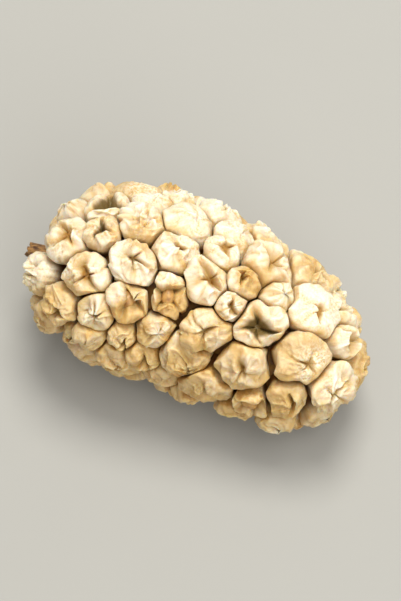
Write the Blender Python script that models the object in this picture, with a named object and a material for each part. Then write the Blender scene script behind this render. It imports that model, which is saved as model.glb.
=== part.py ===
"""A dried white mulberry, lying on its side.

Units are metres, with +Z up. The long axis runs along X, with the stalk end
at -X and the tip at +X. The fruit is a slim core under a coat of fleshy
drupelets, which grew as one piece. The lowest drupelets are pressed flat and
carry the fruit on the surface at Z = 0. The stalk is a short broken stub in
the hollow of the stalk end.
"""

import math
import random

import bmesh
import bpy
import numpy
from mathutils import Matrix, Vector

# Driving dimensions of the fruit's outline, which the drupelets end on
FRUIT_LENGTH = 0.0246
FRUIT_WIDTH = 0.0137
FRUIT_HEIGHT = 0.0130
SIDE_BEND = 0.0012  # how far the middle bows towards +Y
END_TAPER = 0.17  # how much slimmer the tip is than the middle, as a share
TIP_SINK = 0.0007  # how far the tapered tip sinks to lie on the surface
STALK_END_BLUNTNESS = 3.4
TIP_BLUNTNESS = 4.6
PRESSED_DEPTH = 0.0006  # how much of the lowest drupelets is pressed flat

# Driving dimensions of one drupelet
DRUPELET_COUNT = 104
DRUPELET_RISE = 0.0024  # from the core's surface to the outer end
DRUPELET_RADIUS = 0.00152  # at the belly, where it is widest
BELLY_HEIGHT = 0.54  # share of the rise
ROOT_SINK = 0.35  # share of the rise that is sunk in the core
ROOT_WIDTH = 0.52  # share of the belly's radius
PIT_HEIGHT = 0.84  # share of the rise, at the bottom of the dimple in the end
DRUPELET_SIDES = 7
SHOULDER_ANGLES = (math.radians(42.0), math.radians(72.0))

# How the drupelets are placed, and how much they differ
PLACE_SEED = 488
GOLDEN_ANGLE = math.pi * (3.0 - math.sqrt(5.0))
START_SCATTER = 0.5  # how far a drupelet starts off the golden spiral, in radians
STALK_HOLLOW = 0.0031  # how near to the stalk a drupelet's outer end may come
SPREAD_ROUNDS = 60
SPREAD_STRENGTH = 0.35
ROOM = 1.12  # reach of the push between neighbours, in even spacings
SIZE_SPREAD = 0.27
SIZE_TO_TIP = 0.10  # how much larger the drupelets at the tip are, as a share
LEAN_TO_TIP = 0.16
RANDOM_LEAN = 0.13
RISE_SPREAD = 0.10
FLATNESS = 0.16  # how much narrower than wide a drupelet may be

# The core, inside the drupelets
CORE_HALF_LENGTH = FRUIT_LENGTH / 2 - DRUPELET_RISE
CORE_HALF_WIDTH = FRUIT_WIDTH / 2 - DRUPELET_RISE
CORE_HALF_HEIGHT = FRUIT_HEIGHT / 2 - DRUPELET_RISE
CORE_RINGS = 12
CORE_SIDES = 14
AREA_BANDS = 400

# The stalk
STALK_RADIUS = 0.00055
STALK_LENGTH = 0.0025
STALK_SIDES = 10
STALK_RINGS = 5
STALK_FLARE = 0.35  # how much wider the foot is, as a share
STALK_DROOP = 0.0005  # how far the broken end hangs towards -Z
TOUCH_GAP = 0.0003  # between the stalk and the core

# Looks
FLESH_COLOUR = (0.72, 0.55, 0.32)
FLESH_ROUGHNESS = 0.55
STALK_COLOUR = (0.36, 0.24, 0.12)
STALK_ROUGHNESS = 0.8
CREASE_ANGLE = math.radians(56.0)


def clear_scene():
    for thing in list(bpy.data.objects):
        bpy.data.objects.remove(thing, do_unlink=True)


def make_object(name, mesh):
    thing = bpy.data.objects.new(name, mesh)
    bpy.context.scene.collection.objects.link(thing)
    return thing


def girth_squared(along):
    """Square of the core's girth at a place along it, which runs from -1 to 1."""
    bluntness = STALK_END_BLUNTNESS if along < 0 else TIP_BLUNTNESS
    return (1.0 - END_TAPER * along) ** 2 * (1.0 - abs(along) ** bluntness)


def girth_slope(along):
    """Slope of girth_squared."""
    bluntness = STALK_END_BLUNTNESS if along < 0 else TIP_BLUNTNESS
    taper = 1.0 - END_TAPER * along
    fall = math.copysign(bluntness * abs(along) ** (bluntness - 1.0), along)
    return -2.0 * END_TAPER * taper * (1.0 - abs(along) ** bluntness) - taper**2 * fall


def core_place(along, turn):
    """Point on the core's surface and the outward direction there."""
    girth = math.sqrt(max(0.0, girth_squared(along)))
    side = girth * math.cos(turn)
    lift = girth * math.sin(turn)
    axis = Vector((CORE_HALF_LENGTH * along, SIDE_BEND * (1.0 - along**2), -TIP_SINK * along))
    point = axis + Vector((0.0, CORE_HALF_WIDTH * side, CORE_HALF_HEIGHT * lift))
    across = 2.0 * side / CORE_HALF_WIDTH
    upward = 2.0 * lift / CORE_HALF_HEIGHT
    endward = 2.0 * SIDE_BEND * along * across + TIP_SINK * upward - girth_slope(along)
    return point, Vector((endward / CORE_HALF_LENGTH, across, upward)).normalized()


def outer_place(spot):
    """Point of the outer surface over a spot on the unit sphere."""
    point, outward = core_place(spot[0], math.atan2(spot[2], spot[1]))
    return point + outward * DRUPELET_RISE


def outer_area():
    """Area of the surface over the drupelets, summed in narrow bands."""
    area = 0.0
    last = outer_place((-1.0, 0.0, 0.0))
    for band in range(1, AREA_BANDS + 1):
        along = -math.cos(math.pi * band / AREA_BANDS)
        place = outer_place((along, 0.0, 1.0))
        area += math.pi * (place.z + last.z) * math.hypot(place.x - last.x, place.z - last.z)
        last = place
    return area


def even_spacing():
    """Distance between neighbours if the drupelets lay like a honeycomb."""
    return math.sqrt(2.0 * outer_area() / (math.sqrt(3.0) * DRUPELET_COUNT))


def spread_evenly(spots, sizes):
    """Push spots on the unit sphere apart until large and small ones share the surface."""
    reach = ROOM * even_spacing() * (sizes[:, None] + sizes[None, :]) / 2
    halves = numpy.array((FRUIT_LENGTH, FRUIT_WIDTH, FRUIT_HEIGHT)) / 2
    stalk_end = numpy.array(outer_place((-1.0, 0.0, 0.0)))
    for step in range(SPREAD_ROUNDS):
        outer = numpy.array([outer_place(spot) for spot in spots])
        apart = outer[:, None, :] - outer[None, :, :]
        distance = numpy.linalg.norm(apart, axis=2) + numpy.eye(len(spots))
        overlap = numpy.clip(reach - distance, 0.0, None) / distance
        push = (apart * overlap[:, :, None]).sum(axis=1)
        off_stalk = outer - stalk_end
        distance = numpy.linalg.norm(off_stalk, axis=1)
        overlap = numpy.clip(STALK_HOLLOW - distance, 0.0, None) / distance
        push += off_stalk * overlap[:, None]
        spots = spots + SPREAD_STRENGTH * push / halves
        spots /= numpy.linalg.norm(spots, axis=1)[:, None]
    return spots


def drupelet_places():
    """Foot, direction, radii, rise and twist of each drupelet, from a scattered golden spiral."""
    draw = random.Random(PLACE_SEED)
    spots = []
    sizes = []
    for index in range(DRUPELET_COUNT):
        along = 2.0 * (index + 0.5) / DRUPELET_COUNT - 1.0
        girth = math.sqrt(1.0 - along**2)
        turn = index * GOLDEN_ANGLE + draw.uniform(-START_SCATTER, START_SCATTER)
        spots.append((along, girth * math.cos(turn), girth * math.sin(turn)))
        sizes.append(1.0 + SIZE_TO_TIP * along + draw.uniform(-SIZE_SPREAD, SIZE_SPREAD))
    spots = spread_evenly(numpy.array(spots), numpy.array(sizes))
    places = []
    for spot, size in zip(spots, sizes):
        foot, outward = core_place(spot[0], math.atan2(spot[2], spot[1]))
        lean = Vector([draw.uniform(-RANDOM_LEAN, RANDOM_LEAN) for axis in range(3)])
        lean.x += LEAN_TO_TIP
        direction = (outward + lean).normalized()
        radius = DRUPELET_RADIUS * size
        narrow = radius * (1.0 - draw.uniform(0.0, FLATNESS))
        rise = DRUPELET_RISE * (1.0 + draw.uniform(-RISE_SPREAD, RISE_SPREAD))
        twist = draw.uniform(0.0, math.pi)
        places.append((foot, direction, radius, narrow, rise, twist))
    return places


def close_rings(shape, loops, first_point, last_point):
    """Faces between loops of points, and over both ends, flat or up to a point."""
    sides = len(loops[0])
    for low, high in zip(loops, loops[1:]):
        for side in range(sides):
            after = (side + 1) % sides
            shape.faces.new((low[side], low[after], high[after], high[side]))
    for loop, point in ((loops[0], first_point), (loops[-1], last_point)):
        if point is None:
            shape.faces.new(loop)
            continue
        end = shape.verts.new(point)
        for side in range(sides):
            shape.faces.new((loop[side], loop[(side + 1) % sides], end))


def mesh_from(shape, name):
    bmesh.ops.triangulate(shape, faces=shape.faces)
    bmesh.ops.recalc_face_normals(shape, faces=shape.faces)
    mesh = bpy.data.meshes.new(name)
    shape.to_mesh(mesh)
    shape.free()
    return mesh


def round_loop(shape, centre, radius, sides):
    """Ring of points that lies level round a centre."""
    loop = []
    for side in range(sides):
        turn = 2.0 * math.pi * side / sides
        spoke = Vector((math.cos(turn), math.sin(turn), 0.0)) * radius
        loop.append(shape.verts.new(centre + spoke))
    return loop


def drupelet_mesh():
    """One drupelet of unit radius and unit rise, with a dimple in its outer end."""
    shape = bmesh.new()
    root = Vector((0.0, 0.0, -ROOT_SINK))
    belly = Vector((0.0, 0.0, BELLY_HEIGHT))
    loops = [
        round_loop(shape, root, ROOT_WIDTH, DRUPELET_SIDES),
        round_loop(shape, belly, 1.0, DRUPELET_SIDES),
    ]
    for angle in SHOULDER_ANGLES:
        centre = Vector((0.0, 0.0, BELLY_HEIGHT + (1.0 - BELLY_HEIGHT) * math.sin(angle)))
        loops.append(round_loop(shape, centre, math.cos(angle), DRUPELET_SIDES))
    close_rings(shape, loops, None, Vector((0.0, 0.0, PIT_HEIGHT)))
    return mesh_from(shape, "drupelet")


def core_mesh():
    """The slim core, turned from the girth rule and bowed to the side."""
    shape = bmesh.new()
    loops = []
    for ring in range(1, CORE_RINGS):
        along = -math.cos(math.pi * ring / CORE_RINGS)
        loop = []
        for side in range(CORE_SIDES):
            half_step = 0.5 * (ring % 2)
            turn = 2.0 * math.pi * (side + half_step) / CORE_SIDES
            loop.append(shape.verts.new(core_place(along, turn)[0]))
        loops.append(loop)
    close_rings(shape, loops, core_place(-1.0, 0.0)[0], core_place(1.0, 0.0)[0])
    return mesh_from(shape, "core")


def drupelet_matrix(foot, direction, radius, narrow, rise, twist):
    turned = direction.to_track_quat("Z", "Y").to_matrix().to_4x4()
    size = Matrix.Diagonal((radius, narrow, rise, 1.0))
    return Matrix.Translation(foot) @ turned @ Matrix.Rotation(twist, 4, "Z") @ size


def apply_modifiers(thing):
    depsgraph = bpy.context.evaluated_depsgraph_get()
    mesh = bpy.data.meshes.new_from_object(thing.evaluated_get(depsgraph))
    thing.modifiers.clear()
    thing.data = mesh


def make_fruit():
    """The core and every drupelet in one union, after which the drupelets leave the scene."""
    fruit = make_object("mulberry_fruit", core_mesh())
    coat = bpy.data.collections.new("drupelets")
    bpy.context.scene.collection.children.link(coat)
    template = drupelet_mesh()
    for place in drupelet_places():
        drupelet = bpy.data.objects.new("drupelet", template)
        drupelet.matrix_world = drupelet_matrix(*place)
        coat.objects.link(drupelet)
    union = fruit.modifiers.new("fuse", "BOOLEAN")
    union.operation = "UNION"
    union.operand_type = "COLLECTION"
    union.collection = coat
    union.solver = "EXACT"
    apply_modifiers(fruit)
    for drupelet in list(coat.objects):
        bpy.data.objects.remove(drupelet, do_unlink=True)
    bpy.data.collections.remove(coat)
    return fruit


def make_stalk():
    """Short stub from the core's end towards -X, with a flared foot and a slight droop."""
    shape = bmesh.new()
    end = core_place(-1.0, 0.0)[0]
    loops = []
    for ring in range(STALK_RINGS):
        share = ring / (STALK_RINGS - 1)
        radius = STALK_RADIUS * (1.0 + STALK_FLARE * (1.0 - share) ** 2)
        centre = Vector((-STALK_DROOP * share**2, 0.0, TOUCH_GAP + STALK_LENGTH * share))
        loops.append(round_loop(shape, centre, radius, STALK_SIDES))
    close_rings(shape, loops, None, None)
    stalk = make_object("fruit_stalk", mesh_from(shape, "stalk"))
    stalk.data.transform(Matrix.Translation(end) @ Matrix.Rotation(-math.pi / 2, 4, "Y"))
    return stalk


def stand_on_surface(fruit, stalk):
    """Centre both over the origin, with the depth that is pressed flat below Z = 0."""
    points = [vertex.co for piece in (fruit, stalk) for vertex in piece.data.vertices]
    middle_x = (min(p.x for p in points) + max(p.x for p in points)) / 2
    middle_y = (min(p.y for p in points) + max(p.y for p in points)) / 2
    lowest = min(p.z for p in points)
    shift = Matrix.Translation((-middle_x, -middle_y, -lowest - PRESSED_DEPTH))
    fruit.data.transform(shift)
    stalk.data.transform(shift)


def press_flat(fruit):
    """Take off what lies below Z = 0."""
    block = bmesh.new()
    size = Matrix.Diagonal((2.0 * FRUIT_LENGTH, 2.0 * FRUIT_LENGTH, FRUIT_LENGTH, 1.0))
    place = Matrix.Translation((0.0, 0.0, -FRUIT_LENGTH / 2))
    bmesh.ops.create_cube(block, size=1.0, matrix=place @ size)
    cutter = make_object("surface_cutter", mesh_from(block, "surface_cutter"))
    cutter.hide_render = True
    cutter.display_type = "WIRE"
    cut = fruit.modifiers.new("press", "BOOLEAN")
    cut.operation = "DIFFERENCE"
    cut.object = cutter
    cut.solver = "EXACT"
    apply_modifiers(fruit)
    bpy.data.objects.remove(cutter, do_unlink=True)


def dress(thing, name, colour, roughness):
    """Give a piece its own material and smooth shading between its creases."""
    material = bpy.data.materials.new(name)
    material.use_nodes = True
    shader = material.node_tree.nodes["Principled BSDF"]
    shader.inputs["Base Color"].default_value = (*colour, 1.0)
    shader.inputs["Roughness"].default_value = roughness
    shader.inputs["Metallic"].default_value = 0.0
    thing.data.materials.clear()
    thing.data.materials.append(material)
    thing.data.shade_smooth()
    thing.data.set_sharp_from_angle(angle=CREASE_ANGLE)


def main():
    clear_scene()
    fruit = make_fruit()
    stalk = make_stalk()
    stand_on_surface(fruit, stalk)
    press_flat(fruit)
    dress(fruit, "dried_flesh", FLESH_COLOUR, FLESH_ROUGHNESS)
    dress(stalk, "dried_stalk", STALK_COLOUR, STALK_ROUGHNESS)


main()
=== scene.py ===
"""The looks of a dried white mulberry that lies on its side on a pale floor.

Units are metres, with +Z up. The fruit's long axis runs along X, with the
stalk end at -X and the tip at +X. The placing rule is the one that the frame
was built with, so each drupelet is made again as a fine mesh in its own place.
Dried fleshy lobes close round the mouth of each, its sides are wrinkled, and
neighbours press each other into thin creases, darkened with painted shade.
"""

import itertools
import math
import random

import bpy
import numpy
from mathutils import Matrix, Vector


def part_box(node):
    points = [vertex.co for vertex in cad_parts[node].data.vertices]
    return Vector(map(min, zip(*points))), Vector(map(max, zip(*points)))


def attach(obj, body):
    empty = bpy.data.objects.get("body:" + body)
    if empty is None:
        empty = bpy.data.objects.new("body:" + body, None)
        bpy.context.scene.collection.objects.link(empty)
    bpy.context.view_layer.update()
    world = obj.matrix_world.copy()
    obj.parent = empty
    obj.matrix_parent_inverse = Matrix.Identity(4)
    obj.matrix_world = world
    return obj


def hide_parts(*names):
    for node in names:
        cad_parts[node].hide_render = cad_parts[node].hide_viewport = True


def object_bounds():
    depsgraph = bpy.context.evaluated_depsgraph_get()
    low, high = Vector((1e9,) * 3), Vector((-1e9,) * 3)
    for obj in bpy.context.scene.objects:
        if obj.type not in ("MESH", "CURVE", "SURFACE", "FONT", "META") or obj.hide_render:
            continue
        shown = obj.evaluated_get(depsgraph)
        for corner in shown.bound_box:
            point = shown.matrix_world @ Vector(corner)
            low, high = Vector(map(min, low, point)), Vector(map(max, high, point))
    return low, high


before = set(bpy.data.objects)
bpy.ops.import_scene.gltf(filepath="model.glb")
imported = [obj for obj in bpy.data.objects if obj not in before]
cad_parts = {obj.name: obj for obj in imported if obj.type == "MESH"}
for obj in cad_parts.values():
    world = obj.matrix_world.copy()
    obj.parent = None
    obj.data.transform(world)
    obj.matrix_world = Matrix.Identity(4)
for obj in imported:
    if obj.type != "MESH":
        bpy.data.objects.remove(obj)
CAD_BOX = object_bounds()

# The placing rule's dimensions, as in the frame
FRUIT_LENGTH = 0.0246
FRUIT_WIDTH = 0.0137
FRUIT_HEIGHT = 0.0130
SIDE_BEND = 0.0012
END_TAPER = 0.17
TIP_SINK = 0.0007
STALK_END_BLUNTNESS = 3.4
TIP_BLUNTNESS = 4.6
DRUPELET_COUNT = 104
DRUPELET_RISE = 0.0024
DRUPELET_RADIUS = 0.00152
BELLY_HEIGHT = 0.54
ROOT_SINK = 0.35
ROOT_WIDTH = 0.52
PLACE_SEED = 488
GOLDEN_ANGLE = math.pi * (3.0 - math.sqrt(5.0))
START_SCATTER = 0.5
STALK_HOLLOW = 0.0031
SPREAD_ROUNDS = 60
SPREAD_STRENGTH = 0.35
ROOM = 1.12
SIZE_SPREAD = 0.27
SIZE_TO_TIP = 0.10
LEAN_TO_TIP = 0.16
RANDOM_LEAN = 0.13
RISE_SPREAD = 0.10
FLATNESS = 0.16
CORE_HALF_LENGTH = FRUIT_LENGTH / 2 - DRUPELET_RISE
CORE_HALF_WIDTH = FRUIT_WIDTH / 2 - DRUPELET_RISE
CORE_HALF_HEIGHT = FRUIT_HEIGHT / 2 - DRUPELET_RISE
AREA_BANDS = 400
STALK_RADIUS = 0.00055
STALK_LENGTH = 0.0025
STALK_FLARE = 0.35
STALK_DROOP = 0.0005
TOUCH_GAP = 0.0003

# The grid of one fine drupelet, which is shaped in a unit form of radius 1 and rise 1
SKIN_SIDES = 72
ROOT_RINGS = 6
SHOULDER_RINGS = 13
CROWN_RINGS = 26
CROWN_RADIUS = 0.66
GROUP_COUNT = 5
PLUMPNESS = 1.21  # how much wider than its frame a drupelet is before it is pressed
BLOOM_PLUMPNESS = 0.08  # and how much more under bloom
RISE_IN_RADII = DRUPELET_RISE / DRUPELET_RADIUS

LOOK_SEED = 41

# Kinds of drupelet: share of all, then the least and the most of the mouth's reach in radii, of
# its stretch, of its depth in rises, and of the lobes' depth in radii. A kind with no share is
# only where it is marked.
KINDS = {
    "lobed": (0.22, (0.12, 0.20), (0.00, 0.34), (0.14, 0.28), (0.14, 0.28)),
    "ring": (0.24, (0.22, 0.34), (0.00, 0.34), (0.20, 0.36), (0.05, 0.16)),
    "folded": (0.30, (0.15, 0.22), (0.55, 0.80), (0.18, 0.32), (0.02, 0.10)),
    "closed": (0.18, (0.10, 0.16), (0.00, 0.30), (0.03, 0.10), (0.02, 0.10)),
    "open": (0.05, (0.36, 0.44), (0.00, 0.20), (0.32, 0.42), (0.14, 0.26)),
    "pit": (0.00, (0.28, 0.34), (0.10, 0.35), (0.55, 0.65), (0.14, 0.28)),
    "hollow": (0.00, (0.46, 0.52), (0.05, 0.20), (0.60, 0.70), (0.06, 0.14)),
    "dent": (0.00, (0.34, 0.38), (0.10, 0.30), (0.40, 0.46), (0.06, 0.14)),
}
KIND_NAMES = list(KINDS)

# What the rest of each drupelet's look is drawn between, in radii, radians or shares
OFFSET = (-40.0, 40.0)  # where in the noise it lies
SHRINK = (0.95, 1.04)  # of its radius
LIFT = (0.88, 1.04)  # of its height
SLUMP = (0.0, 0.18)  # how far its crown has sunk to one side
SHRIVEL = (0.8, 1.6)  # how strong its ridges are
MOUTH_EDGE = (2.0, 4.0)  # how sharply its mouth falls off
MOUTH_SHIFT = (0.0, 0.20)
FOUR_LOBES = 0.72  # the share with four lobes, where the others have three
LOBE_END = (0.75, 1.5)
OVERLAP = (-0.13, 0.13)
RIM_TILT = (0.0, 0.13)
RIM_FOLD = (0.0, 0.09)
PLEATS = (9.0, 15.0)
PLEAT_DEPTH = (-0.02, 0.060)  # below 0 there are none
FOLDS = (4.0, 9.0)
FOLD_TWIST = (-0.5, 0.5)
FOLD_DEPTH = (0.02, 0.16)
DENT_WAY = (0.45, 1.05)
DENT_WIDTH = (0.45, 0.85)
DENT_DEPTH = (-0.08, 0.32)  # below 0 there is none

# Places on the upper side that differ from the rest: their middle along X and Y, with the kind of
# the drupelet that ends nearest to it, or with the radius of a patch
UPPER_SIDE = 0.006  # how high a marked drupelet's end is, at least
PATCH_HEIGHTS = (0.005, 0.009)  # where patches start and where they are full
PATCH_CORE = 0.45  # the share of a patch's radius within which it is full
MARKED_DRUPELETS = (
    ("hollow", -0.0084, 0.0027),
    ("pit", 0.0048, -0.0019),
    ("open", -0.0015, -0.0026),
    ("dent", -0.0075, 0.0003),
    ("ring", -0.0103, -0.0010),
    ("ring", 0.0004, -0.0004),
    ("ring", -0.0076, -0.0034),
    ("ring", -0.0021, -0.0066),
    ("folded", 0.0079, 0.0011),
)
BLOOM_PATCHES = (  # paler, plumper and smoother
    (-0.0004, 0.0031, 0.0038),
    (0.0084, 0.0012, 0.0032),
    (-0.0058, 0.0040, 0.0024),
    (-0.0095, -0.0030, 0.0019),
    (0.0098, -0.0026, 0.0020),
)
# Patches painted more gold. The three near Y = -0.005, at X = -0.0084, -0.0030 and 0.0014, are painted shade
# on the low front side.
GOLD_AND_SHADE_PATCHES = (
    (0.0034, 0.0008, 0.0014),
    (-0.0046, 0.0004, 0.0013),
    (0.0082, -0.0052, 0.0012),
    (-0.0007, -0.0026, 0.0016),
    (-0.0084, -0.0052, 0.0028),
    (-0.0030, -0.0050, 0.0021),
    (0.0014, -0.0056, 0.0019),
)
# The gap patches also get darker painted shade in their creases.
GAP_PATCHES = (  # where the gaps are widest and darkest
    (0.0038, -0.0044, 0.0015),
    (0.0070, -0.0031, 0.0014),
    (0.0065, -0.0055, 0.0015),
    (-0.0105, 0.0005, 0.0014),
    (-0.0081, -0.0051, 0.0014),
)

# The low front side is painted more gold, as painted shade, and has wider gaps with darker
# painted shade. Each is full below its first height and ends at its second, and the heights slant along Y.
LOW_SHADE_SIDE = (0.0018, 0.0088)
LOW_GAP_SIDE = (0.0045, 0.0115)
LOW_TILT = 0.5

# Relief of the skin, in radii: its heights, and the sizes of the noise that shapes it
SWAY_SIZE = 0.8
LUMP_HEIGHT = 0.120
LUMP_SIZE = 0.62
RIPPLE_HEIGHT = 0.030
RIPPLE_SIZE = 0.27
CRINKLE_HEIGHT = 0.009
CRINKLE_SIZE = 0.12
PEAK_HEIGHT = 0.13  # the most that all the relief together stands out
PEAK_ROUNDING = 0.16
BLOOM_CALM = 0.6  # how much smoother the drupelets under bloom are

# The nets of ridges on the skin
RIDGE_HEIGHT = 0.140
RIDGE_SIZE = 0.36
FINE_RIDGE_HEIGHT = 0.046
FINE_RIDGE_SIZE = 0.17
RIDGE_ROUNDING = 0.08
RIDGE_FALL = 3.0
RIDGE_SHARPNESS = 1.3
NET_LEVEL = 0.4  # the net's value where it neither stands out nor sinks in
NET_WAY = 0.75  # how closely the net lies down the skin: below 1 it is drawn out
NET_HEIGHT = 0.45  # and along the height
NET_SWAY = 0.22
RIDGE_START = (0.3, 0.9)  # in reaches of the mouth
SIDE_CALM = (0.45, 1.05, 0.4)  # between the first two ways the ridges weaken by the third

# Forms on a drupelet, with ways that run from 0 at the crown's middle to 1 at the widest ring
LOBE_SHARPNESS = 2.6
LOBE_START = (0.0, 0.22)  # a start or an end is the two ways between which a form comes or goes
LOBE_FADE = 0.6  # the share of its end at which a lobe starts to end
LOBE_UNEVENNESS = 0.30
LOBE_SWAY = 0.45
MOUTH_LEVEL = 0.85
MOUTH_LUMPS = 0.30
MOUTH_CORNERS = 0.95  # how much further the mouth reaches between the lobes
MOUTH_RIPPLES = 0.2
LIP_HEIGHT = 0.090
LIP_WAY = 1.45  # in reaches of the mouth
LIP_WIDTH = 0.17
RIM_WAY = 0.5
RIM_WIDTH = 0.35
FOLD_SHARPNESS = 2.2
FOLD_SWAY = 0.6
FOLD_START = (0.40, 0.80)
FOLD_END = (1.2, 1.5, 0.6)  # the third is the share of a fold that goes
FOLD_LEVEL = 0.6
FOLD_LUMPS = 0.7
PLEAT_SHARPNESS = 1.5
PLEAT_SWAY = 0.8
PLEAT_START = (0.08, 0.30)
PLEAT_END = (0.55, 0.95)
DENT_LENGTH = 0.30
SLUMP_END = 1.2

# Colour masks of the skin, where a mask with three values climbs over the first two to the third
DRIFT_SIZE = 0.0032
PATCHY_SIZE = 0.0016
BLOOM_PATCHINESS = 0.5
DRIFT_BLOOM = (-0.1, 1.0, 0.4)
MARKED_BLOOM = 0.7
TONE_GOLD = (0.50, 1.0, 0.9)
PATCHY_GOLD = (0.3, 0.9, 0.5)
# Painted shade: how much more gold the low front side is painted, and how patchily.
LOW_SHADE_GOLD = 0.9
LOW_SHADE_GOLD_LEVEL = 0.85
LOW_SHADE_GOLD_PATCHINESS = 0.5
# Where the dark olive painted shade deep in pits, hollows and dents starts and is full.
PIT_SHADE_RANGE = (0.02, 0.7)
# A mouth is coloured more the deeper it is: partly its own colour, partly painted shade of its hollow.
MOUTH_MASK_DEPTH = 0.2  # in rises, from which a mouth is coloured in full
# How strongly folds, pleats and the lows of the ridge net are painted amber, as painted shade.
FOLD_SHADE = 0.8
PLEAT_SHADE = 0.5
NET_SHADE = 0.35
GRAIN_WAY = 0.35  # how closely the fibres' noise lies down the skin
# The dark of the creases is painted shade: how far it spreads.
LOW_CREASE = 0.06  # how much further the dark of the creases spreads on the low side
CREASE_CALM = 0.10  # how much less far above it
MARKED_CREASE = 0.08  # how much further in the gap patches

# How neighbours press each other
PRESS_REACH = 3.3  # in drupelet radii, between the middles of bellies
PRESS_STEPS = 11
LEAST_SHARE = 0.02  # of its way from the axis that a point keeps, so that no ring closes up
PRESS_GAP = 0.010  # the least gap, as a share of the way from an axis to the skin
WIDE_GAP = 0.06  # how much wider it is where the noise opens it
LOW_GAP = 0.28  # and how much wider still on the low side
MARKED_GAP = 0.25  # the least gap in the gap patches
GAP_PATCH = 0.0022
GAP_RANGE = (-0.3, 0.7)
TIGHT_ROUNDING = 0.16
SOFT_ROUNDING = 0.44
ROUNDING_PATCH = 0.0013
ROUNDING_RANGE = (-0.7, 0.7)
BORDER_WAVE = 0.22
WAVE_PATCH = 0.0010
FLOOR_ROUNDING = 0.00012
STALK_CLEARANCE = 0.00012
CLEARANCE_START = (-0.0003, 0.0001)  # how far past the core's end it starts and is full

# The nutlets in open mouths, in radii and rises
NUTLET_RINGS = 22
NUTLET_SIDES = 32
NUTLET_RADIUS = 0.33
NUTLET_FLATNESS = 0.8
NUTLET_HALF_RISE = 0.17
NUTLET_HEIGHT = 0.58
NUTLET_LUMPS = 0.12
NUTLET_LUMP_SIZE = 0.22

# The fine core and its roughness
CORE_RINGS = 90
CORE_SIDES = 120
CORE_ROUGHNESS = 0.05
CORE_LUMPS = ((0.5, 0.0011, 21), (0.3, 0.0004, 22))  # share, size and seed

# The fine stalk
FINE_STALK_RINGS = 34
FINE_STALK_SIDES = 48
STALK_ROOT = 0.0002  # how far the stalk's foot reaches into the core
STALK_GIRTH = 0.93  # its girth past the flared foot, as a share of the frame's
STALK_FIBRES = 11
FIBRE_SHARPNESS = 0.7
FIBRE_HEIGHT = 0.09
STALK_LUMPS = 0.07
STALK_LUMP_SIZE = 0.9
STALK_NOISE = (3.0, 3.0, 2.0)  # how closely its noise lies round it and along it
TORN_LENGTH = 0.00022
TORN_SIZE = 0.5
TORN_START = 0.8
STALK_REACH = 0.985  # how far along it ends where it isn't torn longer
STALK_CAPS = (  # how narrow and how deep each ring of the hollow end is
    (0.86, 0.00001),
    (0.62, 0.00012),
    (0.35, 0.00022),
    (0.12, 0.00024),
)

# Light in the flesh
LIGHT_REACH = (1.0, 0.62, 0.28)  # of red, green and blue, in light depths
LIGHT_DEPTH = 0.0010
FLESH_IOR = 1.45

# Stage, lights and camera
FLOOR_RADIUS = 0.9
SOFT_BOXES = {  # azimuth, elevation, distance, width, watts and colour
    "key_light": (190.0, 69.0, 0.40, 0.18, 1.44, (1.0, 0.99, 0.95)),
    "fill_light": (52.0, 36.0, 0.50, 0.40, 1.02, (0.96, 0.99, 1.0)),
    "top_light": (90.0, 75.0, 0.45, 0.30, 0.75, (1.0, 1.0, 1.0)),
}
ROOM_LIGHT = 0.58
VIEW_AZIMUTH = 23.0
VIEW_ELEVATION = 68.0
LENS = 150.0
CAMERA_DISTANCE = 0.172


def linear(red, green, blue):
    """Colour for a shader from its usual screen values, 0 to 255."""
    values = []
    for value in (red, green, blue):
        share = value / 255.0
        values.append(share / 12.92 if share <= 0.04045 else ((share + 0.055) / 1.055) ** 2.4)
    return (*values, 1.0)


CREAM = linear(237, 229, 211)
BEIGE = linear(232, 221, 201)
GOLD = linear(222, 202, 164)
AMBER = linear(202, 165, 98)
BROWN = linear(154, 107, 38)
DEEP_BROWN = linear(98, 58, 17)
BLOOM = linear(237, 232, 212)
OLIVE = linear(184, 150, 88)
DARK_OLIVE = linear(112, 90, 46)
NUTLET_GOLD = linear(196, 152, 88)
NUTLET_BROWN = linear(140, 96, 48)
STRAW = linear(160, 118, 66)
STALK_DARK = linear(74, 44, 20)
FLOOR_PALE = linear(158, 156, 150)
ROOM_PALE = linear(236, 234, 230)


def girth_squared(along):
    """Square of the core's girth at a place along it, which runs from -1 to 1."""
    bluntness = STALK_END_BLUNTNESS if along < 0 else TIP_BLUNTNESS
    return (1.0 - END_TAPER * along) ** 2 * (1.0 - abs(along) ** bluntness)


def girth_slope(along):
    """Slope of girth_squared."""
    bluntness = STALK_END_BLUNTNESS if along < 0 else TIP_BLUNTNESS
    taper = 1.0 - END_TAPER * along
    fall = math.copysign(bluntness * abs(along) ** (bluntness - 1.0), along)
    return -2.0 * END_TAPER * taper * (1.0 - abs(along) ** bluntness) - taper**2 * fall


def core_place(along, turn):
    """Point on the core's surface and the outward direction there."""
    girth = math.sqrt(max(0.0, girth_squared(along)))
    side = girth * math.cos(turn)
    lift = girth * math.sin(turn)
    axis = Vector((CORE_HALF_LENGTH * along, SIDE_BEND * (1.0 - along**2), -TIP_SINK * along))
    point = axis + Vector((0.0, CORE_HALF_WIDTH * side, CORE_HALF_HEIGHT * lift))
    across = 2.0 * side / CORE_HALF_WIDTH
    upward = 2.0 * lift / CORE_HALF_HEIGHT
    endward = 2.0 * SIDE_BEND * along * across + TIP_SINK * upward - girth_slope(along)
    return point, Vector((endward / CORE_HALF_LENGTH, across, upward)).normalized()


def outer_place(spot):
    """Point of the outer surface over a spot on the unit sphere."""
    point, outward = core_place(spot[0], math.atan2(spot[2], spot[1]))
    return point + outward * DRUPELET_RISE


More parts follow.
